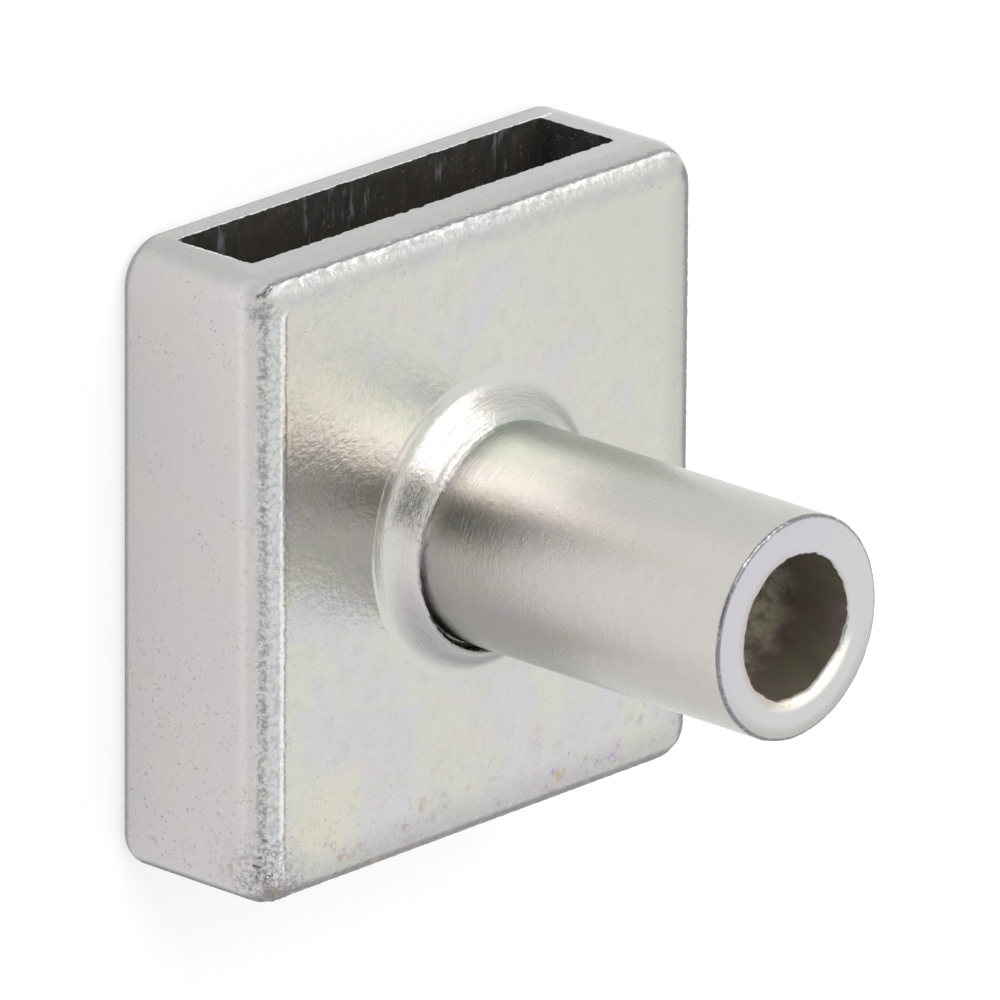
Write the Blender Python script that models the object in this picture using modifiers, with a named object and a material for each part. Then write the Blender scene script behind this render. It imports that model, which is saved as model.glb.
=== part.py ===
"""Slotted stem fitting: a flat slotted head with a hollow round stem welded to its front face.

Frame: origin at the centre of the head's flat back face, which it lies on. The stem stands up
along +Z from the front face, the slot runs along Y, and X is across the head. Metres, +Z up.
"""
import math

import bmesh
import bpy
from mathutils import Matrix

MM = 0.001

# Slotted head
HEAD_WIDTH = 38.5 * MM            # along X
HEAD_LENGTH = 40.0 * MM           # along Y, the length of the slot
HEAD_DEPTH = 12.0 * MM            # along Z, back face to front face
FAR_CORNER_R = 3.0 * MM           # outline corners at the +Y end
NEAR_CORNER_R = 2.5 * MM          # outline corners at the -Y end
FRONT_EDGE_R = 2.2 * MM           # rounding around the front face
BACK_EDGE_R = 1.0 * MM            # rounding around the back face
CORNER_SEGMENTS = 10
FRONT_EDGE_SEGMENTS = 8
BACK_EDGE_SEGMENTS = 5

# Slot through the head, end to end
SLOT_WIDTH = 31.6 * MM            # along X
SLOT_GAP = 6.1 * MM               # along Z
SLOT_OFFSET_X = -0.8 * MM         # the slot sits this far off the head's middle
FRONT_WALL = 3.5 * MM
CUTTER_OVERRUN = 2.0 * MM

# Stem, a plain tube
STEM_R = 7.0 * MM
BORE_R = 4.5 * MM
STEM_REACH = 25.5 * MM            # from the head's front face to the stem's end
STEM_OUTER_CHAMFER = 0.25 * MM
STEM_MOUTH_CHAMFER = 0.35 * MM
STEM_ROOT_CHAMFER = 0.2 * MM

# Weld bead around the stem's root
BEAD_TOE = 2.25 * MM              # how far the bead spreads over the front face
BEAD_HEIGHT = 1.5 * MM            # how far it climbs along the stem
BEAD_TOE_LIP = 0.12 * MM
BEAD_CROWN = 0.12 * MM            # bulge of the bead's face above a straight slope
BEAD_FACE_STEPS = 8

RING_STEPS = 72
GAP = 0.3 * MM                    # between pieces that touch
MERGE_DISTANCE = 0.01 * MM
SMOOTH_ANGLE = math.radians(35)


def clear_scene():
    for item in list(bpy.data.objects):
        bpy.data.objects.remove(item, do_unlink=True)


def new_collection(name):
    collection = bpy.data.collections.new(name)
    bpy.context.scene.collection.children.link(collection)
    return collection


def add_object(name, mesh, collection):
    item = bpy.data.objects.new(name, mesh)
    collection.objects.link(item)
    return item


def steel(name, colour, roughness):
    material = bpy.data.materials.new(name)
    material.use_nodes = True
    material.diffuse_color = (*colour, 1.0)
    shader = material.node_tree.nodes["Principled BSDF"]
    shader.inputs["Base Color"].default_value = (*colour, 1.0)
    shader.inputs["Roughness"].default_value = roughness
    shader.inputs["Metallic"].default_value = 1.0
    return material


def shade_smooth(mesh):
    mesh.shade_smooth()
    mesh.set_sharp_from_angle(angle=SMOOTH_ANGLE)


def edges_where(bm, test):
    return [edge for edge in bm.edges if test(edge.verts[0].co, edge.verts[1].co)]


def round_edges(bm, edges, radius, segments):
    bmesh.ops.bevel(
        bm,
        geom=edges,
        offset=radius,
        offset_type="OFFSET",
        segments=segments,
        profile=0.5,
        affect="EDGES",
        clamp_overlap=False,
    )


def rounded_block():
    """The head before it is slotted: a block with round corners and rounded front and back edges."""
    bm = bmesh.new()
    size = Matrix.Diagonal((HEAD_WIDTH, HEAD_LENGTH, HEAD_DEPTH, 1.0))
    bmesh.ops.create_cube(bm, size=1.0, matrix=Matrix.Translation((0, 0, HEAD_DEPTH / 2)) @ size)
    tolerance = HEAD_DEPTH / 1000

    def corners(end):
        return edges_where(
            bm,
            lambda a, b: abs(a.z - b.z) > HEAD_DEPTH / 2 and a.y * end > 0 and b.y * end > 0,
        )

    def around(z):
        return edges_where(bm, lambda a, b: abs(a.z - z) < tolerance and abs(b.z - z) < tolerance)

    round_edges(bm, corners(1), FAR_CORNER_R, CORNER_SEGMENTS)
    round_edges(bm, corners(-1), NEAR_CORNER_R, CORNER_SEGMENTS)
    round_edges(bm, around(HEAD_DEPTH), FRONT_EDGE_R, FRONT_EDGE_SEGMENTS)
    round_edges(bm, around(0.0), BACK_EDGE_R, BACK_EDGE_SEGMENTS)
    mesh = bpy.data.meshes.new("slotted_head")
    bm.to_mesh(mesh)
    bm.free()
    return mesh


def slot_cutter(collection):
    bm = bmesh.new()
    size = Matrix.Diagonal((SLOT_WIDTH, HEAD_LENGTH + 2 * CUTTER_OVERRUN, SLOT_GAP, 1.0))
    bmesh.ops.create_cube(bm, size=1.0, matrix=size)
    mesh = bpy.data.meshes.new("slot_cutter")
    bm.to_mesh(mesh)
    bm.free()
    cutter = add_object("slot_cutter", mesh, collection)
    cutter.location = (SLOT_OFFSET_X, 0, HEAD_DEPTH - FRONT_WALL - SLOT_GAP / 2)
    cutter.hide_render = True
    cutter.display_type = "WIRE"
    return cutter


def make_head(parts, cutters):
    head = add_object("slotted_head", rounded_block(), parts)
    cut = head.modifiers.new("slot", "BOOLEAN")
    cut.operation = "DIFFERENCE"
    cut.solver = "EXACT"
    cut.object = slot_cutter(cutters)
    shade_smooth(head.data)
    head.data.materials.append(steel("head_zinc", (0.62, 0.61, 0.57), 0.38))
    return head


def turned_ring(name, profile, collection):
    """Turn a closed profile of (radius, height) points, outer side first and downwards, about Z."""
    mesh = bpy.data.meshes.new(name)
    count = len(profile)
    points = [(radius, 0.0, height) for radius, height in profile]
    mesh.from_pydata(points, [(i, (i + 1) % count) for i in range(count)], [])
    ring = add_object(name, mesh, collection)
    turn = ring.modifiers.new("turn", "SCREW")
    turn.axis = "Z"
    turn.angle = 2 * math.pi
    turn.steps = RING_STEPS
    turn.render_steps = RING_STEPS
    turn.use_merge_vertices = True
    turn.merge_threshold = MERGE_DISTANCE
    bpy.context.view_layer.update()
    evaluated = ring.evaluated_get(bpy.context.evaluated_depsgraph_get())
    ring.data = bpy.data.meshes.new_from_object(evaluated)
    ring.modifiers.clear()
    ring.data.name = name
    bpy.data.meshes.remove(mesh)
    shade_smooth(ring.data)
    ring.location = (0, 0, HEAD_DEPTH)
    return ring


def make_stem(parts):
    """Heights run from the head's front face to the stem's free end."""
    profile = [
        (STEM_R - STEM_OUTER_CHAMFER, STEM_REACH),
        (STEM_R, STEM_REACH - STEM_OUTER_CHAMFER),
        (STEM_R, GAP + STEM_ROOT_CHAMFER),
        (STEM_R - STEM_ROOT_CHAMFER, GAP),
        (BORE_R, GAP),
        (BORE_R, STEM_REACH - STEM_MOUTH_CHAMFER),
        (BORE_R + STEM_MOUTH_CHAMFER, STEM_REACH),
    ]
    stem = turned_ring("stem_tube", profile, parts)
    stem.data.materials.append(steel("stem_zinc", (0.60, 0.59, 0.56), 0.32))
    return stem


def bead_height(part):
    """Height of the bead's face, part 0 at the stem and 1 at the toe: full, then hollow."""
    slope = (1 - part) * (BEAD_HEIGHT - BEAD_TOE_LIP - GAP)
    return GAP + BEAD_TOE_LIP + slope + BEAD_CROWN * math.sin(2 * math.pi * part)


def make_bead(parts):
    inner = STEM_R + GAP
    outer = STEM_R + BEAD_TOE
    profile = []
    for step in range(BEAD_FACE_STEPS + 1):
        part = step / BEAD_FACE_STEPS
        profile.append((inner + (outer - inner) * part, bead_height(part)))
    profile.append((outer, GAP))
    profile.append((inner, GAP))
    bead = turned_ring("weld_bead", profile, parts)
    bead.data.materials.append(steel("bead_zinc", (0.64, 0.63, 0.61), 0.34))
    return bead


def main():
    clear_scene()
    parts = new_collection("slotted_stem_fitting")
    cutters = new_collection("cutters")
    origin = bpy.data.objects.new("slotted_stem_fitting", None)
    parts.objects.link(origin)
    for piece in (make_head(parts, cutters), make_stem(parts), make_bead(parts)):
        piece.parent = origin


main()
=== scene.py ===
"""Looks of the slotted stem fitting: plated steel head, stem and weld bead on a white table."""
import math

import bmesh
import bpy
import numpy as np
from mathutils import Matrix, Vector, noise


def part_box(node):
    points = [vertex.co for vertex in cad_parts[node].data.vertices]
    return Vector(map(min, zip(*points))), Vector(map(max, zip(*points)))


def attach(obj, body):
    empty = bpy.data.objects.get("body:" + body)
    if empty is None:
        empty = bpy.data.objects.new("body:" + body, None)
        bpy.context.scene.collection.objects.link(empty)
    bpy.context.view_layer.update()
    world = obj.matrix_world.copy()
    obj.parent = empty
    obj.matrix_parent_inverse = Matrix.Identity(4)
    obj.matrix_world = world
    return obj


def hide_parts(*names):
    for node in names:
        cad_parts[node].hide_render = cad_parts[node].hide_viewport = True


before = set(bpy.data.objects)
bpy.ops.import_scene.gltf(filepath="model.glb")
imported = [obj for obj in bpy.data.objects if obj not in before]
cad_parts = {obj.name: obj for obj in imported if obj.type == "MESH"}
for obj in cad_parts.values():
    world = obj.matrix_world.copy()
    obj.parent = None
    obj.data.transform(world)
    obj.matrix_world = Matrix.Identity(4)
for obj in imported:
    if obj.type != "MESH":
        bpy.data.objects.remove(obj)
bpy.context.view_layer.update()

MM = 0.001
TAU = 2 * math.pi

# The CAD model's own sizes, in millimetres
head_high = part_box("slotted_head")[1]
stem_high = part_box("stem_tube")[1]
bead_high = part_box("weld_bead")[1]
HEAD_HALF_X = head_high.x / MM
HEAD_HALF_Y = head_high.y / MM
HEAD_TOP = head_high.z / MM
STEM_TOP = stem_high.z / MM
STEM_R = stem_high.x / MM
BEAD_R = bead_high.x / MM
BEAD_TOP = bead_high.z / MM
FAR_CORNER_R = 3.0                # at +Y
NEAR_CORNER_R = 2.5               # at -Y
FRONT_EDGE_R = 2.2
BACK_EDGE_R = 1.0
SLOT_LOW = (-16.6, 2.4)           # x and z
SLOT_HIGH = (15.0, 8.5)
BORE_R = 4.5

# The visual model's own sizes, in millimetres, and its mesh steps
FRONT_LEFT_CORNER_R = 1.3         # the plating builds up to a sharper corner here
TIGHTEST_BEND = 0.5               # of the rings inside a corner
BACK_FACE_INSET = 1.6             # where the back face turns flat
BEAD_FOOT_R = 8.6                 # the face's rings end in a circle under the weld bead
LIP_R = 0.28                      # outer edge of the stem's end
MOUTH_R = 0.3                     # edge between the stem's end and the bore
SINK = 0.08                       # how far the bead's foot stands in the face
CORNER_STEPS = 40
WIDTH_STEPS = 270
LENGTH_STEPS = 288
EDGE_STEPS = 32
STEM_STEPS = 288
BEAD_STEPS = 480
FLOOR_STEPS = 96

# Marks on the front edge's plating, in millimetres along the surface from where the edge's
# rounding starts on the side. A pair is the mark's place and its half width.
TOP_NODULES = (1.62, 0.17)
TOP_CREASE = (1.34, 0.09)
LEFT_SEAM = (1.74, 0.25)
LEFT_SHOULDER = (1.3, 0.12)
LEFT_GRAIN = (2.4, 0.35)
LEFT_RIDGE = (2.97, 0.09)
EDGE_GRIT = (1.9, 0.9)
EDGE_KNOB = (1.6, 0.35)
MARKS_END = 3.45


# ---------------------------------------------------------------- mesh helpers


def mesh_object(name, points, faces, smooth_angle=50):
    """A smooth-shaded object from points in millimetres."""
    mesh = bpy.data.meshes.new(name)
    mesh.from_pydata([tuple(p) for p in np.asarray(points) * MM], [], faces)
    mesh.validate()
    mesh.shade_smooth()
    mesh.set_sharp_from_angle(angle=math.radians(smooth_angle))
    item = bpy.data.objects.new(name, mesh)
    bpy.context.scene.collection.objects.link(item)
    return item


def ring_faces(rows, columns):
    """Quads between rows of points that each run once round."""
    faces = []
    for row in range(rows - 1):
        for column in range(columns):
            after = (column + 1) % columns
            faces.append(
                (
                    row * columns + column,
                    row * columns + after,
                    (row + 1) * columns + after,
                    (row + 1) * columns + column,
                )
            )
    return faces


def bump(distance, width):
    return math.exp(-((distance / width) ** 2))


def ease(value, low, high):
    """0 below `low`, 1 above `high` and smooth between."""
    part = min(1.0, max(0.0, (value - low) / (high - low)))
    return part * part * (3 - 2 * part)


def lumps(point, size):
    """Rounded grains about `size` across, 0 to 1."""
    near = noise.voronoi(Vector(point) / size)[0][0]
    return max(0.0, 1.0 - (near / 0.62) ** 2)


def wave(point, size, octaves=3):
    return noise.fractal(Vector(point) / size, 1.0, 2.0, octaves)


# ---------------------------------------------------------------- slotted head


def head_ring(inset, far_left):
    """Points and outward directions once round the head, `inset` in from its outline.

    `far_left` is the radius of the corner at -X, +Y, which is sharper at the front. A corner
    with a smaller radius than its zone starts and ends with a straight lead.
    """
    corners = (
        (1, 1, FAR_CORNER_R, FAR_CORNER_R, 0.0, WIDTH_STEPS),
        (-1, 1, FAR_CORNER_R, far_left, 90.0, LENGTH_STEPS),
        (-1, -1, NEAR_CORNER_R, NEAR_CORNER_R, 180.0, WIDTH_STEPS),
        (1, -1, NEAR_CORNER_R, NEAR_CORNER_R, 270.0, LENGTH_STEPS),
    )
    zones = []
    for sx, sy, zone, radius, start, side_steps in corners:
        a = math.radians(start)
        out = np.array([math.cos(a), math.sin(a)])
        onward = np.array([-out[1], out[0]])
        tip = np.array([sx * (HEAD_HALF_X - inset), sy * (HEAD_HALF_Y - inset)])
        reach = zone - inset
        bend = max(radius - inset, TIGHTEST_BEND)
        zones.append((tip, out, onward, reach, bend, a, side_steps))
    ring = []
    for index, (tip, out, onward, reach, bend, a, side_steps) in enumerate(zones):
        lead = reach - bend
        total = 2 * lead + bend * math.pi / 2
        centre = tip - bend * onward - bend * out
        for step in range(CORNER_STEPS):
            run = total * step / CORNER_STEPS
            swing = min(max((run - lead) / bend, 0.0), math.pi / 2)
            way = (math.cos(a + swing), math.sin(a + swing))
            point = centre + bend * np.array(way)
            point = point - onward * max(lead - run, 0.0)
            point = point - out * max(run - lead - bend * math.pi / 2, 0.0)
            ring.append((point[0], point[1], way))
        following = zones[(index + 1) % 4]
        begin = tip - out * reach
        finish_at = following[0] - following[2] * following[3]
        way = (onward[0], onward[1])
        for step in range(side_steps):
            point = begin + (finish_at - begin) * step / side_steps
            ring.append((point[0], point[1], way))
    return ring


def head_profile():
    """Rows from the back face up to the front face: inset, height and place on the front edge.

    The place runs along the surface in millimetres from where the rounding starts on the side;
    it is None away from the front edge.
    """
    rows = [(BACK_FACE_INSET, 0.0, None)]
    for step in range(6):
        turn = math.pi / 2 * step / 5
        inset = BACK_EDGE_R * (1 - math.sin(turn))
        rows.append((inset, BACK_EDGE_R * (1 - math.cos(turn)), None))
    for height in (2.2, 3.4, 4.6, 5.8, 6.8, 7.6, 8.2, 8.6, 9.0):
        rows.append((0.0, height, None))
    side_top = HEAD_TOP - FRONT_EDGE_R
    for place in (-0.6, -0.4, -0.2):
        rows.append((0.0, side_top + place, place))
    for step in range(EDGE_STEPS + 1):
        turn = math.pi / 2 * step / EDGE_STEPS
        inset = FRONT_EDGE_R * (1 - math.cos(turn))
        rows.append((inset, side_top + FRONT_EDGE_R * math.sin(turn), FRONT_EDGE_R * turn))
    return rows


def edge_growth(point, place, way):
    """How far the plating stands proud on the front edge, in millimetres.

    `place` is the distance along the surface over the rounding, `way` the outward direction.
    """

    def mark(where, shift=0.0):
        return bump(place - where[0] - shift, where[1])

    upper = ease(way[1], 0.62, 0.9)
    lower = ease(-way[1], 0.4, 0.9)
    left = ease(-way[0], 0.45, 0.75)
    right = ease(way[0], 0.4, 0.9)
    grain = lumps(point, 0.42)
    fine = lumps((point[0] + 9, point[1], point[2]), 0.24)
    sway = 0.07 * wave(point, 1.3, 2)

    # along the top, a row of nodules over a crease
    patchy = 0.75 + 0.6 * wave(point, 2.5, 2)
    nodule = lumps((point[0], point[1] * 0.5, point[2] * 0.5), 0.8)
    nodules = mark(TOP_NODULES, sway) * (0.06 + 0.19 * nodule * patchy + 0.04 * fine)
    height = upper * (nodules - 0.06 * mark(TOP_CREASE, sway))

    # down the left, a seam, its shoulder, grain and a thin ridge
    seam = -0.07 * mark(LEFT_SEAM, sway) * (0.5 + 1.1 * fine)
    shoulder = 0.03 * mark(LEFT_SHOULDER, sway)
    ridge = 0.055 * mark(LEFT_RIDGE, 0.4 * sway) * (0.6 + 0.5 * grain)
    grains = 0.065 * (fine - 0.4) * mark(LEFT_GRAIN)
    height += left * (seam + shoulder + ridge + grains)

    # grit on the other two sides, and a crust at the lower left corner
    grit = (0.05 * (grain - 0.5) + 0.035 * (fine - 0.5)) * mark(EDGE_GRIT)
    height += (0.6 * right + lower) * grit
    low_left = math.hypot(point[0] + HEAD_HALF_X - 1, point[1] + HEAD_HALF_Y - 1)
    crust = 0.2 * (lumps(point, 0.5) - 0.4)
    height += bump(low_left, 3.6) * bump(place - EDGE_GRIT[0], 1.2) * crust

    # smooth at the top left corner's tip, with one round knob beside it
    tip = math.hypot(point[0] + HEAD_HALF_X - 0.5, point[1] - HEAD_HALF_Y + 0.5)
    height *= 1 - 0.9 * bump(tip, 0.45)
    knob = math.hypot(point[0] + HEAD_HALF_X - 1.35, point[1] - HEAD_HALF_Y + 0.75)
    height += 0.2 * bump(knob, 0.5) * mark(EDGE_KNOB)
    return height * min(1.0, max(0.0, (MARKS_END - place) / 0.12))


def head_mesh():
    points = []
    rows = head_profile()
    for inset, height, place in rows:
        sharpen = ease(height, 3.0, 10.9)
        corner = FAR_CORNER_R + (FRONT_LEFT_CORNER_R - FAR_CORNER_R) * sharpen
        for px, py, way in head_ring(inset, corner):
            point = (px, py, height)
            if place is not None:
                tilt = max(0.0, place) / FRONT_EDGE_R
                grow = edge_growth(point, place, way)
                point = (
                    px + grow * math.cos(tilt) * way[0],
                    py + grow * math.cos(tilt) * way[1],
                    height + grow * math.sin(tilt),
                )
            points.append(point)
    # the marks stay inside the CAD model's box
    low = (-HEAD_HALF_X, -HEAD_HALF_Y, 0.0)
    high = (HEAD_HALF_X, HEAD_HALF_Y, HEAD_TOP)
    points = [tuple(np.clip(point, low, high)) for point in points]
    columns = len(points) // len(rows)
    # the front face: rings from the outline in to a circle under the weld bead
    rim = np.array(points[(len(rows) - 1) * columns:])
    angle = np.arctan2(rim[:, 1], rim[:, 0])
    circle = BEAD_FOOT_R * np.stack([np.cos(angle), np.sin(angle)], axis=1)
    shares = (0.012, 0.03, 0.06, 0.11, 0.18, 0.3, 0.5, 0.75, 1.0)
    for share in shares:
        flat = (1 - share) * rim[:, :2] + share * circle
        for px, py in flat:
            points.append((px, py, HEAD_TOP - 0.012 + 0.012 * wave((px, py, 0), 4.0, 2)))
    count = len(rows) + len(shares)
    faces = ring_faces(count, columns)
    faces.append(tuple((count - 1) * columns + column for column in range(columns)))
    faces.append(tuple(reversed(range(columns))))
    return mesh_object("head_body", points, faces)


def slot_cutter():
    """The slot as a box whose long walls and mouth edges are slightly uneven."""
    half_x = (SLOT_HIGH[0] - SLOT_LOW[0]) / 2
    half_z = (SLOT_HIGH[1] - SLOT_LOW[1]) / 2
    centre = ((SLOT_LOW[0] + SLOT_HIGH[0]) / 2, (SLOT_LOW[1] + SLOT_HIGH[1]) / 2)
    step = 0.2
    across = max(2, round(2 * half_x / step))
    deep = max(2, round(2 * half_z / step))
    loop = [(-half_x + 2 * half_x * i / across, -half_z) for i in range(across)]
    loop += [(half_x, -half_z + 2 * half_z * i / deep) for i in range(deep)]
    loop += [(half_x - 2 * half_x * i / across, half_z) for i in range(across)]
    loop += [(-half_x, half_z - 2 * half_z * i / deep) for i in range(deep)]
    ends = [-21.0, -20.6, -20.2, -19.8, -19.4, -19.0, -18.4, -17.0]
    ends += list(np.linspace(-14, 14, 15)) + [17.0, 18.4, 19.0, 19.4, 19.8, 20.2, 20.6, 21.0]
    points = []
    for y in ends:
        for x, z in loop:
            rough = 0.16 * wave((x, y * 0.3, z), 0.9) + 0.2 * wave((x, y, z), 0.4, 2)
            flat_x = abs(abs(x) - half_x) < 0.01
            flat_z = abs(abs(z) - half_z) < 0.01
            px = x + (math.copysign(rough, x) if flat_x and not flat_z else 0.0)
            pz = z + (math.copysign(rough, z) if flat_z and not flat_x else 0.0)
            points.append((px + centre[0], y, pz + centre[1]))
    count = len(loop)
    faces = ring_faces(len(ends), count)
    faces.append(tuple(reversed(range(count))))
    faces.append(tuple((len(ends) - 1) * count + i for i in range(count)))
    cutter = mesh_object("slot_cutter", points, faces)
    bm = bmesh.new()
    bm.from_mesh(cutter.data)
    bmesh.ops.recalc_face_normals(bm, faces=bm.faces[:])
    bm.to_mesh(cutter.data)
    bm.free()
    return cutter


def cut_slot(head, cutter, inside_material):
    """Takes the cutter out of the head; the slot's walls get their own material."""
    cutter.data.materials.append(inside_material)
    cut = head.modifiers.new("slot", "BOOLEAN")
    cut.operation = "DIFFERENCE"
    cut.solver = "EXACT"
    cut.material_mode = "TRANSFER"
    cut.object = cutter
    bpy.context.view_layer.update()
    result = head.evaluated_get(bpy.context.evaluated_depsgraph_get())
    mesh = bpy.data.meshes.new_from_object(result)
    head.modifiers.clear()
    head.data = mesh
    mesh.name = "head_body"
    mesh.shade_smooth()
    mesh.set_sharp_from_angle(angle=math.radians(50))
    bpy.data.objects.remove(cutter, do_unlink=True)


# ---------------------------------------------------------------- stem and weld bead


def turned(name, profile, columns, shape):
    """Rows of (radius, height) turned round the stem's axis and closed into a loop.

    shape(radius, height, turn, row) gives each point its own radius and height.
    """
    points = []
    for row, (radius, height) in enumerate(profile):
        for column in range(columns):
            turn = TAU * column / columns
            r, z = shape(radius, height, turn, row)
            points.append((r * math.cos(turn), r * math.sin(turn), z))
    faces = ring_faces(len(profile), columns)
    faces += [
        (
            (len(profile) - 1) * columns + column,
            (len(profile) - 1) * columns + (column + 1) % columns,
            (column + 1) % columns,
            column,
        )
        for column in range(columns)
    ]
    return mesh_object(name, points, faces, smooth_angle=35)


def arc(centre_r, centre_z, radius, start, end, steps):
    found = []
    for step in range(steps + 1):
        turn = math.radians(start + (end - start) * step / steps)
        found.append((centre_r + radius * math.cos(turn), centre_z + radius * math.sin(turn)))
    return found


def stem_mesh():
    """Outer wall, rounded lip, end ring, rounded mouth and bore, closed at the root."""
    root = HEAD_TOP + 0.05
    profile = [(STEM_R, z) for z in np.linspace(root, STEM_TOP - LIP_R - 0.3, 44)]
    profile += arc(STEM_R - LIP_R, STEM_TOP - LIP_R, LIP_R, 0, 90, 6)
    profile += [(r, STEM_TOP) for r in (6.4, 6.0, 5.6, 5.2)]
    profile += arc(BORE_R + MOUTH_R, STEM_TOP - MOUTH_R, MOUTH_R, 90, 180, 5)
    wall_row = len(profile) - 1
    profile += [(BORE_R, z) for z in np.linspace(STEM_TOP - 1.0, root, 24)]
    outer_wall = STEM_R - 0.1
    bore_wall = BORE_R + 0.05
    widest_at = math.radians(-68)

    def shape(radius, height, turn, row):
        place = (radius * math.cos(turn), radius * math.sin(turn), height)
        if radius > outer_wall:
            nick = 0.03 * wave(place, 0.7, 2) if height > STEM_TOP - 0.4 else 0.0
            return radius - 0.02 + 0.012 * wave(place, 5.0) + nick, height
        if height > STEM_TOP - 0.05 and radius > BORE_R + 0.5:
            return radius, height - 0.02 + 0.012 * wave(place, 2.2)
        if radius < bore_wall and height < STEM_TOP - 0.5:
            return radius + 0.02 * wave(place, 1.2), height
        # the mouth: jagged, and wider on one side
        wide = 1 + 0.6 * ease(math.cos(turn - widest_at), 0.72, 0.97)
        drop = wide * (STEM_TOP - height)
        jagged = 0.11 * wave(place, 0.9, 3)
        return BORE_R + wide * (radius - BORE_R) + jagged, STEM_TOP - 0.02 - drop

    stem = turned("stem_shell", profile, STEM_STEPS, shape)
    for face in stem.data.polygons:
        row = face.index // STEM_STEPS
        face.material_index = int(wall_row <= row < len(profile) - 1)
    return stem


def bore_floor_mesh():
    """The blind end of the bore."""
    points = []
    radii = (4.6, 3.4, 2.2, 1.0)
    for radius in radii:
        height = HEAD_TOP + 0.5 - 0.35 * (1 - radius / radii[0])
        for column in range(FLOOR_STEPS):
            turn = TAU * column / FLOOR_STEPS
            points.append((radius * math.cos(turn), radius * math.sin(turn), height))
    faces = ring_faces(len(radii), FLOOR_STEPS)
    faces.append(tuple((len(radii) - 1) * FLOOR_STEPS + c for c in range(FLOOR_STEPS)))
    return mesh_object("bore_floor", points, faces)


def bead_mesh():
    """Ring of weld: a thin toe on the face, a full crown and a crease where it meets the stem."""
    rise = 1.12 * (BEAD_TOP - HEAD_TOP)
    reach = BEAD_R - STEM_R
    # how far out and how far up, as shares of the reach and the rise
    curve = (
        (1.34, -0.02), (1.28, 0.008), (1.2, 0.022), (1.12, 0.036), (1.04, 0.055), (0.96, 0.08),
        (0.88, 0.125), (0.8, 0.19), (0.72, 0.28), (0.64, 0.39), (0.56, 0.515), (0.49, 0.635),
        (0.42, 0.75), (0.35, 0.85), (0.28, 0.93), (0.22, 0.975), (0.17, 1.0), (0.12, 1.01),
        (0.08, 1.0), (0.05, 0.98), (0.02, 0.95), (-0.02, 0.94),
    )
    profile = [(STEM_R + curve[0][0] * reach, HEAD_TOP - SINK)]
    profile += [(STEM_R + reach * out, HEAD_TOP + rise * up) for out, up in curve]
    profile.append((STEM_R - 0.25, HEAD_TOP - SINK))
    deepest = math.radians(250)       # where the crease beside the stem is widest open

    def shape(radius, height, turn, row):
        if row == 0 or row == len(profile) - 1:
            return radius, height
        out, up = curve[row - 1]
        cx, cy = 9 * math.cos(turn), 9 * math.sin(turn)
        long_waves = wave((cx, cy, 2.0 * radius), 2.4)
        drawn = wave((0.5 * cx, 0.5 * cy, 7 * radius), 1.0, 2)
        crumbs = lumps((cx, cy, height + radius), 0.3)
        open_side = ease(math.cos(turn - deepest), -0.3, 0.8)
        radius += 0.1 * bump(out - 1.2, 0.25) * (long_waves - 0.2)
        radius -= 0.16 * open_side * max(0.0, radius - STEM_R - 0.6)
        radius += 0.03 * bump(out - 0.7, 0.5) * drawn
        height += 0.02 * up * (drawn + long_waves)
        height += bump(out, 0.1) * (0.3 - 0.95 * open_side)
        height += bump(out - 0.1, 0.12) * (0.09 * crumbs - 0.06) * (0.3 + 0.7 * open_side)
        return radius, max(height, HEAD_TOP - 0.03)

    return turned("weld_ring", profile, BEAD_STEPS, shape)


# ---------------------------------------------------------------- node helpers


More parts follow.
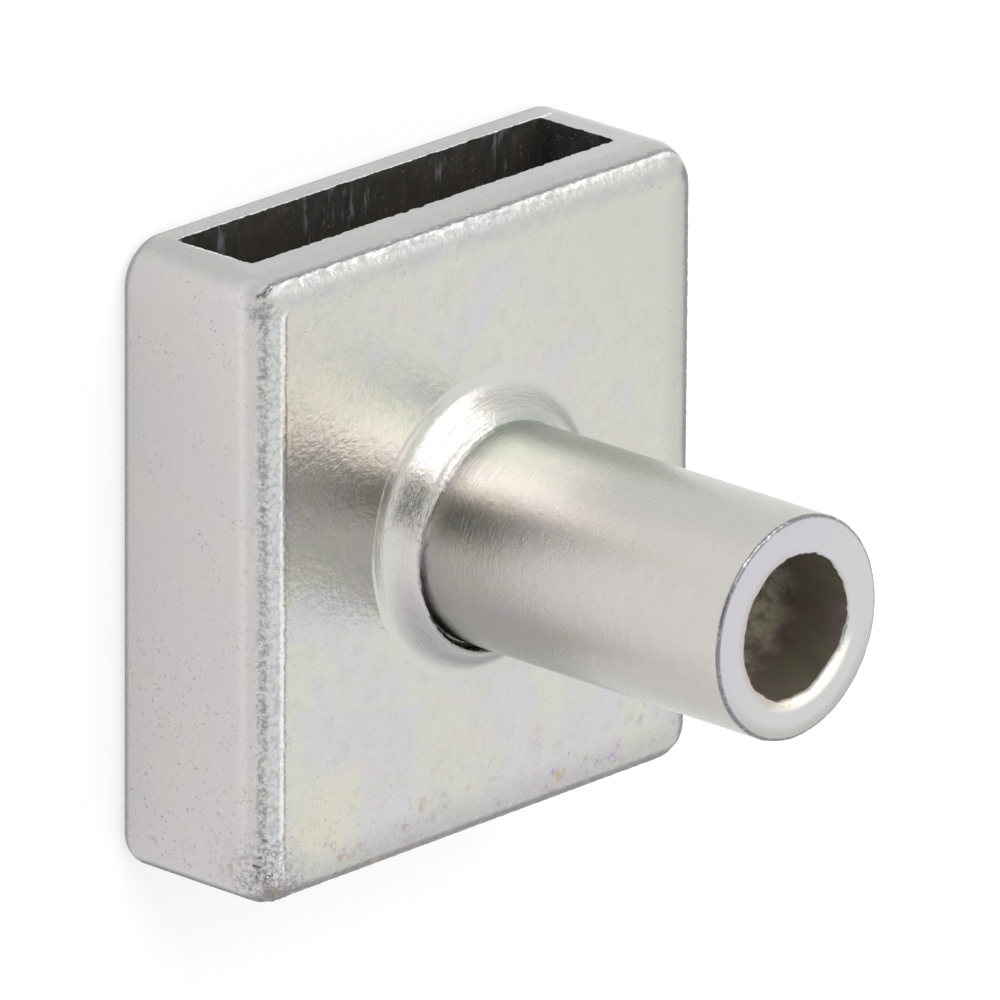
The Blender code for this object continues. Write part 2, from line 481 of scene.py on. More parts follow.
class Nodes:
    """Short calls for building one node tree.

    Materials use places in millimetres. A bump's distance is in metres.
    """

    def __init__(self, tree):
        self.tree = tree

    def add(self, kind, **values):
        node = self.tree.nodes.new(kind)
        for key, value in values.items():
            setattr(node, key, value)
        return node

    def link(self, source, target):
        self.tree.links.new(source, target)

    def feed(self, socket, value):
        if isinstance(value, bpy.types.NodeSocket):
            self.link(value, socket)
        else:
            socket.default_value = value

    def math(self, operation, a, b=0.0, c=0.0, clamp=False):
        node = self.add("ShaderNodeMath", operation=operation, use_clamp=clamp)
        for socket, value in zip(node.inputs, (a, b, c)):
            self.feed(socket, value)
        return node.outputs[0]

    def vector(self, operation, a, b=(0, 0, 0), scale=None):
        node = self.add("ShaderNodeVectorMath", operation=operation)
        self.feed(node.inputs[0], a)
        if scale is None:
            self.feed(node.inputs[1], b)
        else:
            self.feed(node.inputs["Scale"], scale)
        return node.outputs["Value"] if operation in ("DOT_PRODUCT", "LENGTH") else node.outputs[0]

    def split(self, value):
        node = self.add("ShaderNodeSeparateXYZ")
        self.link(value, node.inputs[0])
        return node.outputs

    def plus(self, a, b, clamp=False):
        return self.math("ADD", a, b, clamp=clamp)

    def minus(self, a, b):
        return self.math("SUBTRACT", a, b)

    def scaled(self, a, factor, offset):
        """a * factor + offset"""
        return self.math("MULTIPLY_ADD", a, factor, offset)

    def times(self, first, *others):
        for other in others:
            first = self.math("MULTIPLY", first, other)
        return first

    def band(self, value, middle, half_width):
        """1 near `middle`, falling smoothly to 0 at `half_width` either side."""
        away = self.math("ABSOLUTE", self.minus(value, middle))
        return self.step(away, 0.3 * half_width, half_width, 1.0, 0.0)

    def step(self, value, low, high, to_low=0.0, to_high=1.0):
        """`to_low` below `low`, `to_high` above `high` and smooth between."""
        node = self.add("ShaderNodeMapRange", interpolation_type="SMOOTHSTEP")
        for name, item in (
            ("Value", value),
            ("From Min", low),
            ("From Max", high),
            ("To Min", to_low),
            ("To Max", to_high),
        ):
            self.feed(node.inputs[name], item)
        return node.outputs["Result"]

    def noise(self, place, scale, detail=2.0, roughness=0.5, distortion=0.0):
        node = self.add("ShaderNodeTexNoise", noise_dimensions="3D")
        self.link(place, node.inputs["Vector"])
        for name, value in (
            ("Scale", scale),
            ("Detail", detail),
            ("Roughness", roughness),
            ("Distortion", distortion),
        ):
            node.inputs[name].default_value = value
        return node.outputs["Fac"]

    def noise_colour(self, place, scale):
        node = self.add("ShaderNodeTexNoise", noise_dimensions="3D")
        self.link(place, node.inputs["Vector"])
        node.inputs["Scale"].default_value = scale
        return node.outputs["Color"]

    def cells(self, place, scale):
        node = self.add("ShaderNodeTexVoronoi", feature="F1")
        self.link(place, node.inputs["Vector"])
        node.inputs["Scale"].default_value = scale
        return node.outputs["Distance"]

    def mix(self, factor, a, b):
        node = self.add("ShaderNodeMix", data_type="RGBA")
        self.feed(node.inputs[0], factor)
        for socket, value in ((node.inputs[6], a), (node.inputs[7], b)):
            self.feed(socket, value if isinstance(value, bpy.types.NodeSocket) else (*value, 1.0))
        return node.outputs[2]

    def paint(self, colour, tints, **masks):
        """Lays named tints over a colour in the order given, each through its own mask."""
        for name, mask in masks.items():
            colour = self.mix(mask, colour, tints[name])
        return colour

    def bump(self, height, distance, after=None):
        node = self.add("ShaderNodeBump")
        node.inputs["Strength"].default_value = 1.0
        node.inputs["Distance"].default_value = distance
        self.link(height, node.inputs["Height"])
        if after is not None:
            self.link(after, node.inputs["Normal"])
        return node.outputs["Normal"]


def new_material(name, metallic=1.0):
    """A material, its nodes, its shader and the place on the part in millimetres."""
    material = bpy.data.materials.new(name)
    material.use_nodes = True
    n = Nodes(material.node_tree)
    shader = material.node_tree.nodes["Principled BSDF"]
    shader.inputs["Metallic"].default_value = metallic
    coordinates = n.add("ShaderNodeTexCoord").outputs["Object"]
    place = n.vector("SCALE", coordinates, scale=1 / MM)
    return material, n, shader, place


ZINC_TINTS = {
    "straw": (0.560, 0.556, 0.500),
    "lilac": (0.548, 0.532, 0.552),
    "rose": (0.585, 0.520, 0.510),
    "sage": (0.500, 0.520, 0.485),
}
HEAD_TINTS = {
    # painted shade: the left side face is tinted darker
    "flank": (0.522, 0.500, 0.505),
    "straw_corner": (0.520, 0.530, 0.470),
    # painted reflection: a paler grey-blue band on the left edge's rounding
    "left_band": (0.535, 0.545, 0.557),
    # dark grit in the left seam, with painted shade in its groove
    "seam": (0.22, 0.22, 0.235),
    # painted highlight: a whiter line on the left edge's thin ridge
    "ridge": (0.78, 0.78, 0.77),
    "beside_ridge": (0.27, 0.26, 0.245),
    # painted highlight: the row of nodules along the top edge is tinted near white
    "nodules": (0.86, 0.86, 0.855),
    # painted shade: the crease above the nodules is tinted dark
    "crease": (0.16, 0.165, 0.18),
    "pit": (0.22, 0.22, 0.24),
    # painted shade: a darker grey band on the top edge's rounding
    "shade": (0.43, 0.44, 0.45),
    "worn": (0.055, 0.058, 0.062),
    "greyed": (0.36, 0.365, 0.37),
    "crust": (0.20, 0.20, 0.20),
    "yellow": (0.60, 0.585, 0.47),
    # painted shade along the back edge where it meets the table; the band is also made duller as
    # oxide
    "back_line": (0.20, 0.205, 0.22),
    "burr": (0.92, 0.91, 0.89),
    "specks": (0.30, 0.235, 0.23),
    "flecks": (0.21, 0.20, 0.20),
    "scratches": (0.42, 0.43, 0.45),
}
RIM_GREEN = (0.445, 0.45, 0.43)
RIM_LILAC = (0.435, 0.425, 0.45)
STAIN_VIOLET = (0.33, 0.28, 0.42)
STAIN_RED = (0.40, 0.27, 0.29)
STAIN_BROWN = (0.42, 0.35, 0.22)
TURNED_TINTS = {
    "warm": (0.555, 0.527, 0.512),
    "far_end": (0.475, 0.452, 0.440),
    "end_ring": (0.55, 0.545, 0.535),
    "pale_rings": (0.62, 0.61, 0.60),
    # painted shade: the weld bead's lower side is tinted darker
    "low_side": (0.425, 0.405, 0.425),
    "toe": (0.555, 0.548, 0.518),
    # painted shade: the stem's lower side is tinted darker further from the head
    "belly": (0.40, 0.39, 0.37),
    # painted shade: the stem's underside is tinted darker, most near the head
    "under": (0.41, 0.43, 0.40),
    # painted reflection: the stem's upper side near the root is tinted darker grey-green
    "overhead": (0.38, 0.42, 0.385),
    # painted shade: the crease between bead and stem on the low side is tinted near black
    "soot": (0.17, 0.18, 0.15),
    "cool": (0.525, 0.51, 0.56),
    "flecks": (0.24, 0.23, 0.23),
    "lip": (0.17, 0.175, 0.19),
    # painted highlight: one side of the bore's mouth, towards +X and -Y, is tinted near white and
    # made rougher
    "mouth": (0.88, 0.87, 0.81),
    "rust": (0.47, 0.40, 0.31),
}
SLOT_STEEL = (0.048, 0.044, 0.039)
SLOT_STREAK = (0.20, 0.205, 0.22)
SLOT_SPARK = (0.42, 0.40, 0.38)
BORE_OLIVE = (0.165, 0.155, 0.105)
BORE_BROWN = (0.19, 0.15, 0.135)
BORE_INNER_YELLOW = (0.96, 0.95, 0.74)
BORE_INNER_ROSE = (0.95, 0.90, 0.93)
BORE_STREAK = (0.15, 0.125, 0.115)
BORE_SCORE = (1.0, 0.98, 0.93)


def plating(n, place, strength=1.0):
    """Passivated zinc's patchy tints, the mask of its small dark flecks, and its mottle."""
    drift = n.vector("ADD", place, (31.0, 7.0, 12.0))
    x, y, _ = n.split(place)
    patches = n.noise(place, 0.15, 3.0, 0.6, 0.6)
    patches = n.minus(patches, n.times(n.plus(y, x), 0.003))
    blush = n.noise(drift, 0.27, 4.0, 0.62, 0.7)
    mottle = n.noise(drift, 0.9, 4.0, 0.68)
    colour = n.mix(n.step(patches, 0.45, 0.62), ZINC_TINTS["straw"], ZINC_TINTS["lilac"])
    colour = n.paint(
        colour,
        ZINC_TINTS,
        rose=n.step(blush, 0.53, 0.68, 0.0, 0.6 * strength),
        sage=n.step(mottle, 0.46, 0.66, 0.0, 0.7 * strength),
    )
    clusters = n.step(n.noise(place, 0.33, 3.0, 0.7), 0.42, 0.62)
    flecks = n.step(n.noise(place, 4.2, 3.0, 0.75), 0.61, 0.69)
    return colour, n.times(clusters, flecks), mottle


def surface(n, place, peel, grit, after=None):
    """Orange peel and fine grit of the plated skin, as deep as given in metres."""
    normal = n.bump(n.noise(place, 1.9, 3.0, 0.6), peel, after=after)
    return n.bump(n.noise(place, 4.6, 5.0, 0.78), grit, after=normal)


def finish(n, shader, colour, rough, normal):
    n.link(colour, shader.inputs["Base Color"])
    n.link(rough, shader.inputs["Roughness"])
    n.link(normal, shader.inputs["Normal"])


def from_outline(n, x, y):
    """Distance in from the head's outline, and how much nearer the left or right side is."""
    corner = (FAR_CORNER_R + NEAR_CORNER_R) / 2
    qx = n.minus(n.math("ABSOLUTE", x), HEAD_HALF_X - corner)
    qy = n.minus(n.math("ABSOLUTE", y), HEAD_HALF_Y - corner)
    square_x = n.math("POWER", n.math("MAXIMUM", qx, 0.0), 2.0)
    square_y = n.math("POWER", n.math("MAXIMUM", qy, 0.0), 2.0)
    beyond = n.math("SQRT", n.plus(square_x, square_y))
    within = n.math("MINIMUM", n.math("MAXIMUM", qx, qy), 0.0)
    return n.minus(corner, n.plus(beyond, within)), n.minus(qx, qy)


def over_front_edge(n, inset, z):
    """Distance along the surface from where the front edge's rounding starts on the side."""
    over = n.minus(z, HEAD_TOP - FRONT_EDGE_R)
    left_to_go = n.math("MAXIMUM", n.minus(FRONT_EDGE_R, inset), 0.0)
    tilt = n.math("ARCTAN2", n.math("MAXIMUM", over, 0.0), left_to_go)
    along = n.scaled(tilt, FRONT_EDGE_R, n.math("MINIMUM", over, 0.0))
    return n.plus(along, n.math("MAXIMUM", n.minus(inset, FRONT_EDGE_R), 0.0))


def slot_burr(n, x, y, z, grain):
    """Bright burr along the slot's back and left edges where it comes out at +Y."""
    slot_middle = (SLOT_LOW[1] + SLOT_HIGH[1]) / 2
    short_of_ends = n.step(n.math("ABSOLUTE", x), 15.6, 16.9, 1.0, 0.0)
    back_edge = n.times(n.band(z, SLOT_LOW[1] - 0.08, 0.2), short_of_ends)
    left_edge = n.times(n.band(x, SLOT_LOW[0] - 0.08, 0.2), n.band(z, slot_middle, 3.3))
    edges = n.plus(back_edge, left_edge, clamp=True)
    at_mouth = n.step(y, HEAD_HALF_Y - 0.3, HEAD_HALF_Y - 0.1)
    return n.times(edges, at_mouth, n.step(grain, 0.4, 0.55), 0.9)


def stains(n, place, y, mottle):
    """Mask and colour of the stains along the head's lower side."""
    mask = n.times(
        n.step(n.noise(place, 0.55, 3.0, 0.7), 0.47, 0.62),
        n.step(n.noise(place, 1.3, 4.0, 0.7), 0.47, 0.64),
        n.step(n.plus(y, n.times(mottle, 6.0)), -15.0, -10.0, 1.0, 0.0),
        0.8,
    )
    hue = n.noise(place, 0.7, 2.0)
    colour = n.mix(n.step(hue, 0.4, 0.5), STAIN_VIOLET, STAIN_RED)
    return mask, n.mix(n.step(hue, 0.52, 0.6), colour, STAIN_BROWN)


def head_plating():
    """Plated head: worn, grainy front edge with painted highlights and painted shade on its marks,
    painted shade on its left side and along its back edge, and stains along its lower side.
    """
    material, n, shader, place = new_material("head_plated_steel")
    x, y, z = n.split(place)
    colour, flecks, mottle = plating(n, place)
    grain = n.noise(place, 3.6, 3.0, 0.75)
    grit = n.step(grain, 0.36, 0.62)
    ragged = n.noise(place, 1.6, 4.0, 0.7)
    inset, sideways = from_outline(n, x, y)
    along = n.plus(over_front_edge(n, inset, z), n.scaled(ragged, 0.5, -0.25))

    # the four sides' front halves
    forward = n.step(z, 6.0, 7.5)
    side = n.step(sideways, -0.6, 0.6)
    across = n.minus(1.0, side)
    left = n.times(side, n.step(x, -1.0, 1.0, 1.0, 0.0), forward)
    right = n.times(side, n.step(x, -1.0, 1.0), forward)
    upper = n.times(across, n.step(y, -1.0, 1.0), forward)
    lower = n.times(across, n.step(y, -1.0, 1.0, 1.0, 0.0), forward)

    # marks along the front edge, in the same order as the shape's own; some tints on them are
    # painted highlights and painted shade
    uneven = n.step(n.noise(place, 0.6, 2.0), 0.4, 0.58, 0.6, 1.0)
    seam = n.times(left, n.band(along, 1.74, 0.5), grit, uneven)
    clefts = n.step(n.cells(place, 1.5), 0.4, 0.62, 1.0, 0.35)
    # the row of nodules along the top edge, whose near-white tint is a painted highlight
    nodules = n.times(upper, n.band(along, 1.68, 0.27))
    to_pit = n.vector("ADD", place, (HEAD_HALF_X - 0.5, 1.9 - HEAD_HALF_Y, 0.9 - HEAD_TOP))
    # painted shade: a darker grey band on the top edge's rounding
    shade = n.times(upper, n.band(along, 2.5, 1.3), n.step(mottle, 0.3, 0.6, 0.35, 1.0))
    outline = n.plus(
        n.times(right, n.band(along, 2.35, 0.8)),
        n.times(lower, n.band(along, 1.75, 0.9)),
        clamp=True,
    )
    low_wall = n.times(n.step(y, -19.45, -18.8, 0.9, 0.0), n.step(x, -17.0, -14.0, 1.0, 0.0))
    worn = n.times(n.math("MAXIMUM", outline, low_wall), n.step(grain, 0.3, 0.5, 0.55, 1.0))
    greyed = n.times(n.band(along, 2.4, 2.6), n.scaled(lower, 0.5, n.times(right, 0.4)))
    to_low_corner = n.vector("ADD", place, (HEAD_HALF_X - 1.0, HEAD_HALF_Y - 1.5, -HEAD_TOP))
    low_corner = n.step(n.vector("LENGTH", to_low_corner), 1.0, 4.5, 1.0, 0.0)
    crusty = n.plus(low_corner, n.times(left, n.band(along, 2.3, 0.9), 0.5), clamp=True)
    warped = n.vector("ADD", place, n.vector("SCALE", n.noise_colour(place, 2.0), scale=0.5))
    gaps = n.step(n.cells(warped, 2.3), 0.34, 0.52)
    to_patch = n.vector("ADD", place, (HEAD_HALF_X - 5.5, HEAD_HALF_Y - 5.0, -HEAD_TOP))
    patch = n.scaled(ragged, 4.0, n.vector("LENGTH", to_patch))
    colour = n.paint(
        colour,
        HEAD_TINTS,
        # painted shade: the left side face is tinted darker
        flank=n.step(x, -18.9, -18.0, 0.75, 0.0),
        straw_corner=n.step(n.plus(x, y), 12.0, 30.0, 0.0, 0.7),
        # painted reflection: a paler grey-blue band on the left edge's rounding
        left_band=n.times(left, n.band(along, 2.5, 0.6), n.step(grain, 0.3, 0.6, 0.4, 0.9)),
        # dark grit in the left seam, with painted shade in its groove
        seam=n.times(seam, 0.8),
        # painted highlight: a whiter line on the left edge's thin ridge
        ridge=n.times(left, n.band(along, 2.99, 0.2), 0.85),
        beside_ridge=n.times(
            left, n.band(along, 3.27, 0.14), n.step(grain, 0.35, 0.55, 0.15, 0.8)
        ),
        # painted highlight: the row of nodules along the top edge is tinted near white
        nodules=n.times(nodules, clefts, 0.95),
        # painted shade: the crease above the nodules is tinted dark
        crease=n.times(upper, n.band(along, 1.36, 0.25), n.step(grain, 0.32, 0.5, 0.2, 1.0)),
        pit=n.times(n.step(n.vector("LENGTH", to_pit), 0.3, 0.95, 0.85, 0.0), grit),
        # painted shade: a darker grey band on the top edge's rounding
        shade=n.times(shade, 0.6),
        worn=worn,
        greyed=n.times(greyed, n.step(grain, 0.3, 0.6, 0.5, 1.0)),
        crust=n.times(crusty, gaps, grit, 0.8),
        yellow=n.times(n.step(patch, 3.0, 6.5, 1.0, 0.0), 0.7),
    )

    # the upper side's rim, painted shade along the back edge, the slot's burr and the stains
    rim = n.times(
        n.step(y, HEAD_HALF_Y - 1.1, HEAD_HALF_Y - 0.3),
        n.step(z, HEAD_TOP - 1.2, HEAD_TOP - 0.7, 0.9, 0.0),
    )
    colour = n.mix(rim, colour, n.mix(n.step(mottle, 0.4, 0.6), RIM_GREEN, RIM_LILAC))
    # painted shade along the back edge where it meets the table; the band is also made duller as
    # oxide
    back_line = n.times(n.step(z, 0.65, 1.05, 0.75, 0.0), n.step(grain, 0.25, 0.5, 0.4, 1.0))
    burr = slot_burr(n, x, y, z, grain)
    colour = n.paint(colour, HEAD_TINTS, back_line=back_line, burr=burr)
    stained, stain_colour = stains(n, place, y, mottle)
    colour = n.mix(stained, colour, stain_colour)

    # flecks crowd towards the edges, and scratches slant across the face
    near_edge = n.step(inset, 0.5, 6.0, 1.0, 0.0)
    flecks = n.times(flecks, n.scaled(near_edge, 0.6, 0.3))
    slant = n.add("ShaderNodeMapping")
    slant.inputs["Rotation"].default_value = (0.0, 0.0, 0.42)
    slant.inputs["Scale"].default_value = (8.0, 0.55, 8.0)
    n.link(place, slant.inputs["Vector"])
    colour = n.paint(
        colour,
        HEAD_TINTS,
        specks=n.times(
            n.step(n.noise(place, 3.0, 2.0, 0.6), 0.63, 0.70),
            n.step(n.plus(x, y), -36.0, -12.0, 0.6, 0.0),
        ),
        flecks=flecks,
        scratches=n.times(n.step(n.noise(slant.outputs[0], 1.0, 2.0, 0.6), 0.64, 0.70), 0.4),
    )

    # worn and oxidised steel is less metallic and duller than plating
    oxide = n.math("MAXIMUM", worn, back_line)
    n.link(n.scaled(oxide, -0.8, 1.0), shader.inputs["Metallic"])
    rough = n.scaled(mottle, 0.12, 0.10)
    rough = n.plus(rough, n.scaled(oxide, 0.4, n.times(seam, 0.2)))
    rough = n.plus(rough, n.scaled(nodules, 0.22, n.times(shade, 0.08)))
    rough = n.plus(rough, n.times(flecks, 0.2), clamp=True)
    finish(n, shader, colour, rough, surface(n, place, 0.000035, 0.000015))
    return material


def turned_plating(name, peel, mark_depth, dullness):
    """Plated steel of the stem and the bead, with turning marks strongest near the root, painted
    shade and reflection on their sides, and a painted highlight in the bore's mouth.

    `peel` and `mark_depth` scale the skin's and the marks' depth; `dullness` is the least
    roughness.
    """
    material, n, shader, place = new_material(name)
    x, y, z = n.split(place)
    colour, flecks, mottle = plating(n, place, 0.8)
    radius = n.vector("LENGTH", n.vector("MULTIPLY", place, (1.0, 1.0, 0.0)))
    fade = n.step(z, HEAD_TOP + 3.0, HEAD_TOP + 10.0, 1.0, 0.35)
    climb = n.times(n.minus(z, radius), 7.0)
    spin = n.add("ShaderNodeCombineXYZ")
    for socket, value in zip(spin.inputs, (n.times(x, 0.45), n.times(y, 0.45), climb)):
        n.link(value, socket)
    rings = n.noise(spin.outputs[0], 1.0, 3.0, 0.7)

    # the end ring, the stem's outside, and painted shade and reflection on its lower and upper
    # sides
    end_ring = n.step(z, STEM_TOP - 0.25, STEM_TOP - 0.1)
    outside = n.times(n.step(radius, 5.9, 6.6), n.step(radius, 7.2, 8.2, 1.0, 0.0))
    # painted shade: the stem's lower side is tinted darker further from the head
    belly = n.times(n.step(y, -5.5, 0.5, 1.0, 0.0), n.step(z, 19.0, 26.0), outside)
    # painted shade: the stem's underside is tinted darker, most near the head
    under = n.times(n.step(y, -6.5, -3.0, 1.0, 0.0), n.step(z, 20.0, 29.0, 1.0, 0.5), outside)
    # painted reflection: the stem's upper side near the root is tinted darker grey-green
    overhead = n.times(n.step(y, 5.1, 6.6), n.step(z, 16.0, 28.0, 1.0, 0.3), outside)
    # painted shade: the crease between bead and stem on the low side is tinted near black
    soot = n.times(
        n.band(radius, STEM_R + 0.2, 0.45),
        n.step(y, -5.5, -3.0, 0.75, 0.0),
        n.step(z, HEAD_TOP + 2.0, HEAD_TOP + 3.5, 1.0, 0.0),
    )
    chips = n.step(n.noise(place, 3.0, 3.0, 0.7), 0.28, 0.5)
    lip = n.times(n.step(radius, 6.68, 6.84), n.step(z, STEM_TOP - 0.26, STEM_TOP - 0.17), chips)
    # painted highlight: one side of the bore's mouth, towards +X and -Y, is tinted near white and
    # made rougher
    mouth = n.times(
        n.band(radius, BORE_R + 0.22, 0.55),
        n.step(z, STEM_TOP - 0.7, STEM_TOP - 0.5),
        n.step(n.minus(n.times(x, 0.4), y), 3.2, 4.1),
        n.step(chips, 0.1, 0.5, 0.35, 1.0),
    )
    rust = n.times(
        n.band(radius, BORE_R + 0.15, 0.6),
        n.step(z, STEM_TOP - 0.5, STEM_TOP - 0.2),
        n.step(x, -2.0, 0.5, 1.0, 0.0),
    )
    colour = n.paint(
        colour,
        TURNED_TINTS,
        warm=0.55,
        far_end=n.step(z, 18.0, 27.0, 0.0, 0.5),
        end_ring=end_ring,
        pale_rings=n.times(n.step(rings, 0.5, 0.66), fade, n.step(radius, 7.6, 8.8, 0.45, 0.0)),
        # painted shade: the weld bead's lower side is tinted darker
        low_side=n.times(n.step(y, -6.0, 2.0, 0.8, 0.0), n.step(radius, 7.0, 7.5)),
        toe=n.step(radius, 7.8, 9.2),
        # painted shade: the stem's lower side is tinted darker further from the head
        belly=n.times(belly, 0.7),
        # painted shade: the stem's underside is tinted darker, most near the head
        under=n.times(under, 0.8),
        # painted reflection: the stem's upper side near the root is tinted darker grey-green
        overhead=n.times(overhead, 0.75),
        # painted shade: the crease between bead and stem on the low side is tinted near black
        soot=soot,
        cool=n.times(end_ring, n.step(n.minus(x, y), -5.0, 3.0, 0.7, 0.0)),
        flecks=n.times(flecks, n.scaled(under, 0.6, 0.22)),
        lip=n.times(lip, 0.9),
        # painted highlight: one side of the bore's mouth, towards +X and -Y, is tinted near white
        # and made rougher
        mouth=mouth,
        rust=n.times(rust, 0.5),
    )
    rough = n.scaled(mottle, 0.12, dullness)
    rough = n.plus(rough, n.step(z, HEAD_TOP + 3.0, HEAD_TOP + 9.0, 0.0, 0.10))
    rough = n.plus(rough, n.times(mouth, 0.35), clamp=True)
    smooth_toe = n.step(radius, 8.7, 9.6, 1.0, 0.3)
    marks = n.bump(n.times(rings, fade, smooth_toe), 0.000022 * mark_depth)
    normal = surface(n, place, 0.000022 * peel, 0.000012 * peel, after=marks)
    finish(n, shader, colour, rough, normal)
    return material


def slot_inside():
    """Bare dark steel inside the slot, with faint streaks down its walls."""
    material, n, shader, place = new_material("slot_bare_steel", metallic=0.4)
    streaks = n.noise(n.vector("MULTIPLY", place, (0.9, 0.12, 0.9)), 1.0, 4.0, 0.7)
    ends = n.noise(place, 0.35, 2.0)
    sparks = n.times(
        n.step(n.noise(place, 5.0, 3.0, 0.75), 0.60, 0.68),
        n.step(n.noise(place, 0.5, 2.0), 0.45, 0.6),
        0.5,
    )
    lit = n.times(n.step(streaks, 0.56, 0.66), n.step(ends, 0.45, 0.6))
    colour = n.mix(sparks, n.mix(lit, SLOT_STEEL, SLOT_STREAK), SLOT_SPARK)
    rough = n.step(streaks, 0.3, 0.7, 0.62, 0.45)
    finish(n, shader, colour, rough, n.bump(n.noise(place, 3.0, 3.0, 0.6), 0.00003))
    return material


def bore_steel():
    """Oxidised bore wall: dark olive by the mouth, scratched and paler further in."""
    material, n, shader, place = new_material("bore_steel", metallic=0.4)
    _, y, z = n.split(place)
    streaks = n.noise(n.vector("MULTIPLY", place, (0.9, 0.9, 0.6)), 1.0, 6.0, 0.62)
    scratches = n.noise(n.vector("MULTIPLY", place, (1.6, 1.6, 7.0)), 1.0, 3.0, 0.7)
    clouds = n.step(n.noise(place, 0.5, 3.0), 0.45, 0.6)
    inner = n.step(n.scaled(streaks, 3.0, z), STEM_TOP - 6.5, STEM_TOP - 2.2, 1.0, 0.0)
    inner_colour = n.mix(n.step(y, -2.0, 1.0), BORE_INNER_YELLOW, BORE_INNER_ROSE)
    colour = n.mix(inner, n.mix(clouds, BORE_OLIVE, BORE_BROWN), inner_colour)
    colour = n.mix(n.step(streaks, 0.42, 0.68, 0.0, 0.7), colour, BORE_STREAK)
    scored = n.times(n.step(scratches, 0.56, 0.66), inner, 0.55)
    colour = n.mix(scored, colour, BORE_SCORE)
    rough = n.step(streaks, 0.3, 0.7, 0.6, 0.42)
    finish(n, shader, colour, rough, n.bump(scratches, 0.00003))
    return material


# ---------------------------------------------------------------- studio

CAMERA_TARGET = (1.04, 1.488, 12.328)      # millimetres
CAMERA_AZIMUTH = -116.253                  # from -Y towards +X, degrees
CAMERA_ELEVATION = 39.936
CAMERA_ROLL = 107.954
CAMERA_DISTANCE = 1.20571                  # metres
CAMERA_LENS = 722.3                        # millimetres, on a 36 mm sensor
SENSOR_WIDTH = 36.0

# Light, linear RGB
TENT_LOW = (1.04, 1.04, 1.04)
TENT_HIGH = (1.17, 1.17, 1.17)
TENT_SHADED = (0.88, 0.88, 0.88)
PANEL = (4.95, 4.65, 4.55)
GAP_RIM = (0.62, 0.54, 0.47)
GAP_DARK = (0.10, 0.11, 0.115)
BACKDROP = (1.0, 1.0, 1.0)
TABLE_HALF = 1.5                           # metres
TABLE_GREY = (0.38, 0.38, 0.378, 1.0)
TABLE_GLOW = (1.0, 1.0, 0.995, 1.0)


def direction(azimuth, elevation):
    """Unit vector from the part towards an azimuth and an elevation in degrees."""
    a = math.radians(azimuth)
    e = math.radians(elevation)
    return Vector((math.sin(a) * math.cos(e), -math.cos(a) * math.cos(e), math.sin(e)))


def make_camera():
    """The photograph's viewing angle, turned about its axis by the roll."""
    back = direction(CAMERA_AZIMUTH, CAMERA_ELEVATION)
    level = Vector((0, 0, 1)).cross(back).normalized()
    over = back.cross(level)
    roll = math.radians(CAMERA_ROLL)
    right = level * math.cos(roll) + over * math.sin(roll)
    up = over * math.cos(roll) - level * math.sin(roll)
    camera_data = bpy.data.cameras.new("camera")
    camera_data.lens = CAMERA_LENS
    camera_data.sensor_width = SENSOR_WIDTH
    camera_data.clip_start = 0.1
    camera_data.clip_end = 10.0
    camera = bpy.data.objects.new("camera", camera_data)
    turn = Matrix((right, up, back)).transposed().to_4x4()
    place = Vector(CAMERA_TARGET) * MM + back * CAMERA_DISTANCE
    camera.matrix_world = Matrix.Translation(place) @ turn
    bpy.context.scene.collection.objects.link(camera)
    bpy.context.scene.camera = camera


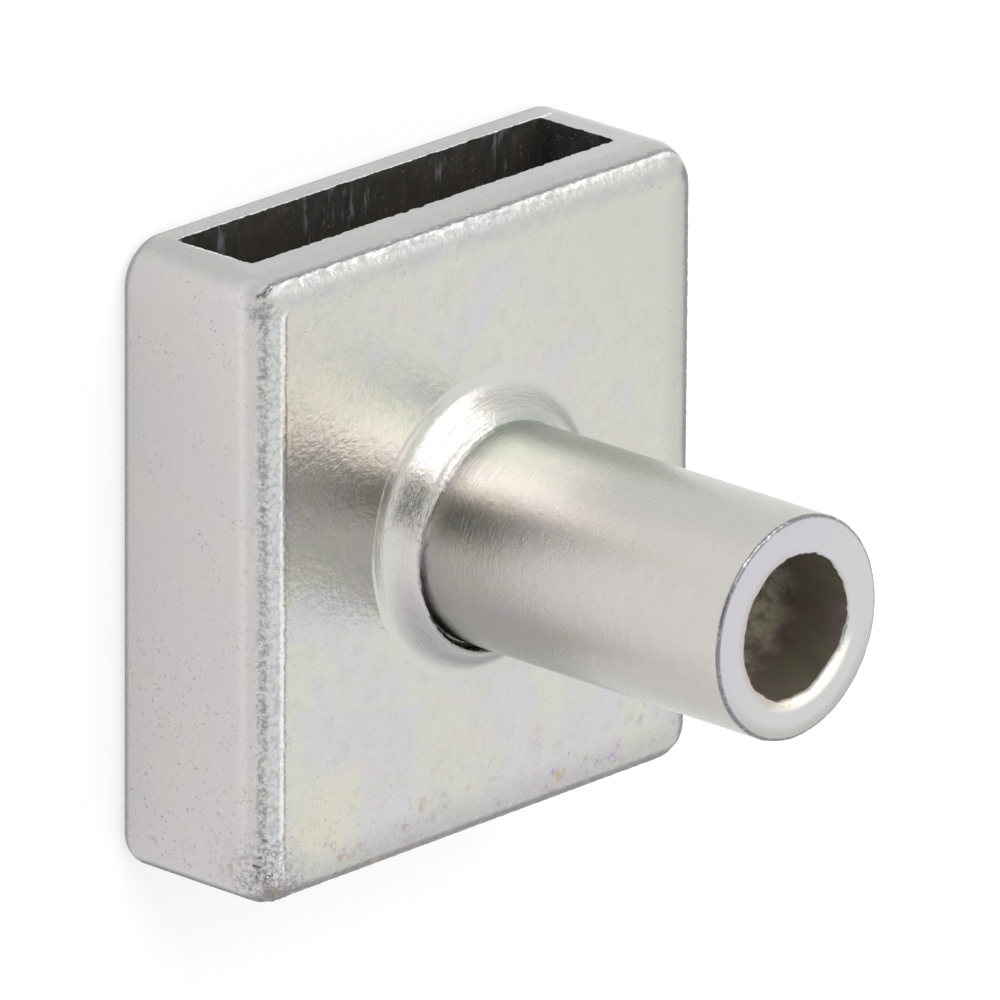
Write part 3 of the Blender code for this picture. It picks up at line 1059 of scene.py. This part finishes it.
def make_world():
    """A white light tent: a dark gap where the photo's camera stood, a bright panel at +Y."""
    world = bpy.data.worlds.new("light_tent")
    bpy.context.scene.world = world
    world.use_nodes = True
    n = Nodes(world.node_tree)
    background = world.node_tree.nodes["Background"]
    way = n.vector("NORMALIZE", n.add("ShaderNodeTexCoord").outputs["Generated"])
    gap = n.vector("DOT_PRODUCT", way, tuple(direction(CAMERA_AZIMUTH, CAMERA_ELEVATION)))
    x, y, z = n.split(way)
    turn = n.math("ARCTAN2", x, y)
    spread = n.times(n.step(turn, -1.1, -0.75), n.step(turn, 0.55, 0.9, 1.0, 0.0))
    panel = n.times(spread, n.step(z, 0.46, 0.58), n.step(z, 0.72, 0.86, 1.0, 0.0))
    shaded = n.times(n.step(y, -0.9, -0.45, 0.8, 0.0), n.step(x, 0.1, 0.5, 1.0, 0.0))
    colour = n.mix(n.step(z, 0.3, 0.58), TENT_LOW, TENT_HIGH)
    colour = n.mix(shaded, colour, TENT_SHADED)
    colour = n.mix(panel, colour, PANEL)
    colour = n.mix(n.step(gap, 0.90, 0.945), colour, GAP_RIM)
    colour = n.mix(n.step(gap, 0.942, 0.968), colour, GAP_DARK)
    seen = n.add("ShaderNodeLightPath").outputs["Is Camera Ray"]
    n.link(n.mix(seen, colour, BACKDROP), background.inputs["Color"])
    background.inputs["Strength"].default_value = 1.0


def make_floor():
    """A white table with a painted pool of light: a slightly brighter strip of extra glow out past
    the head's -X, +Y corner.
    """
    mesh = bpy.data.meshes.new("table")
    bm = bmesh.new()
    bmesh.ops.create_grid(bm, x_segments=4, y_segments=4, size=TABLE_HALF)
    bm.to_mesh(mesh)
    bm.free()
    table = bpy.data.objects.new("table", mesh)
    bpy.context.scene.collection.objects.link(table)
    material = bpy.data.materials.new("white_paper")
    material.use_nodes = True
    n = Nodes(material.node_tree)
    shader = material.node_tree.nodes["Principled BSDF"]
    shader.inputs["Base Color"].default_value = TABLE_GREY
    shader.inputs["Roughness"].default_value = 0.9
    shader.inputs["Specular IOR Level"].default_value = 0.1
    shader.inputs["Emission Color"].default_value = TABLE_GLOW
    place = n.add("ShaderNodeTexCoord").outputs["Object"]
    lit_side = n.vector("DOT_PRODUCT", place, (-0.9, 0.44, 0.0))
    # painted light: a strip of extra glow on the table
    glow = n.times(n.step(lit_side, 0.028, 0.04), n.step(lit_side, 0.044, 0.056, 1.0, 0.0))
    n.link(n.scaled(glow, 0.22, 0.63), shader.inputs["Emission Strength"])
    mesh.materials.append(material)


# ---------------------------------------------------------------- assembly

head_body = head_mesh()
head_body.data.materials.append(head_plating())
cut_slot(head_body, slot_cutter(), slot_inside())
stem_shell = stem_mesh()
stem_shell.data.materials.append(turned_plating("stem_plated_steel", 0.85, 1.0, 0.12))
stem_shell.data.materials.append(bore_steel())
weld_ring = bead_mesh()
weld_ring.data.materials.append(turned_plating("bead_plated_steel", 0.9, 1.8, 0.03))
bore_floor = bore_floor_mesh()
bore_floor.data.materials.append(stem_shell.data.materials[1])

for piece, node, slot in (
    (head_body, "slotted_head", "head_zinc"),
    (stem_shell, "stem_tube", "stem_zinc"),
    (weld_ring, "weld_bead", "bead_zinc"),
    (bore_floor, None, "stem_zinc"),
):
    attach(piece, "root")
    if node:
        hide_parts(node)

make_floor()
make_world()
make_camera()
bpy.context.scene.view_settings.view_transform = "Standard"
